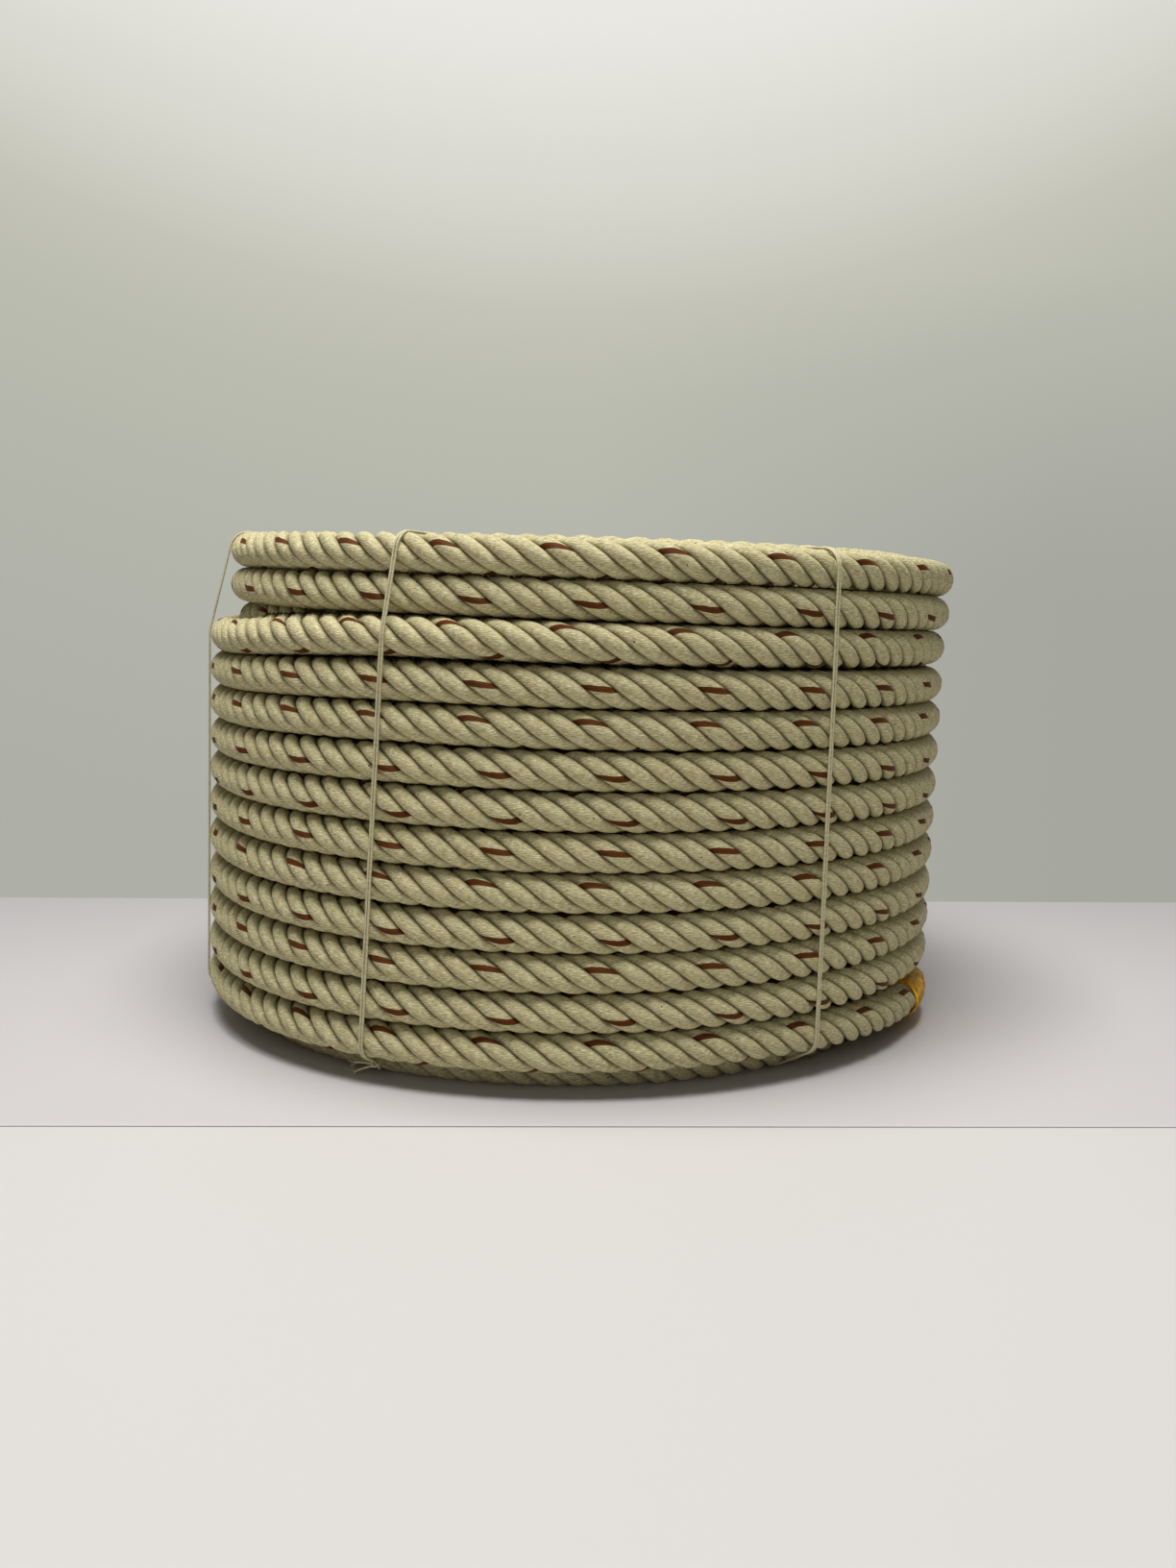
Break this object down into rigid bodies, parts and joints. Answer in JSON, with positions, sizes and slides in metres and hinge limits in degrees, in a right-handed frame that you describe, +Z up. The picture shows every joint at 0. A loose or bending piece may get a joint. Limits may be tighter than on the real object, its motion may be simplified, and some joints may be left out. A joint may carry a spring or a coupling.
{
  "type": "laid rope coil",
  "caption": "Round upright factory coil of laid rope with a coloured marker yarn and taped ends, held in shape by doubled twine ties until it is cut open for use.",
  "frame": {"origin": "under the middle of the coil, on the surface that it stands on", "axes": "+Z up along the coil's axis, -Y towards the coil's front, where its rows are counted, +X to the right of the front"},
  "size_m": [0.3686, 0.3593, 0.2333],
  "materials": {
    "rope": "spun yarn, right-hand laid, matt",
    "heart": "spun yarn, matt",
    "tape": "glossy amber film",
    "twine": "twisted twine, matt"
  },
  "bodies": {
    "root": {"rope_coil": "rope", "outer_end_strand_1": "rope", "outer_end_strand_2": "rope", "outer_end_strand_3": "rope", "outer_end_strand_4": "rope", "outer_end_heart": "heart", "outer_end_tape": "tape", "inner_end_strand_1": "rope", "inner_end_strand_2": "rope", "inner_end_strand_3": "rope", "inner_end_strand_4": "rope", "inner_end_heart": "heart", "inner_end_tape": "tape", "tie_1": "twine", "tie_2": "twine", "tie_3": "twine", "tie_4": "twine", "tie_5": "twine", "tie_6": "twine", "knot_1": "twine", "knot_2": "twine", "knot_3": "twine", "knot_4": "twine", "knot_5": "twine", "knot_6": "twine"}
  },
  "joints": []
}
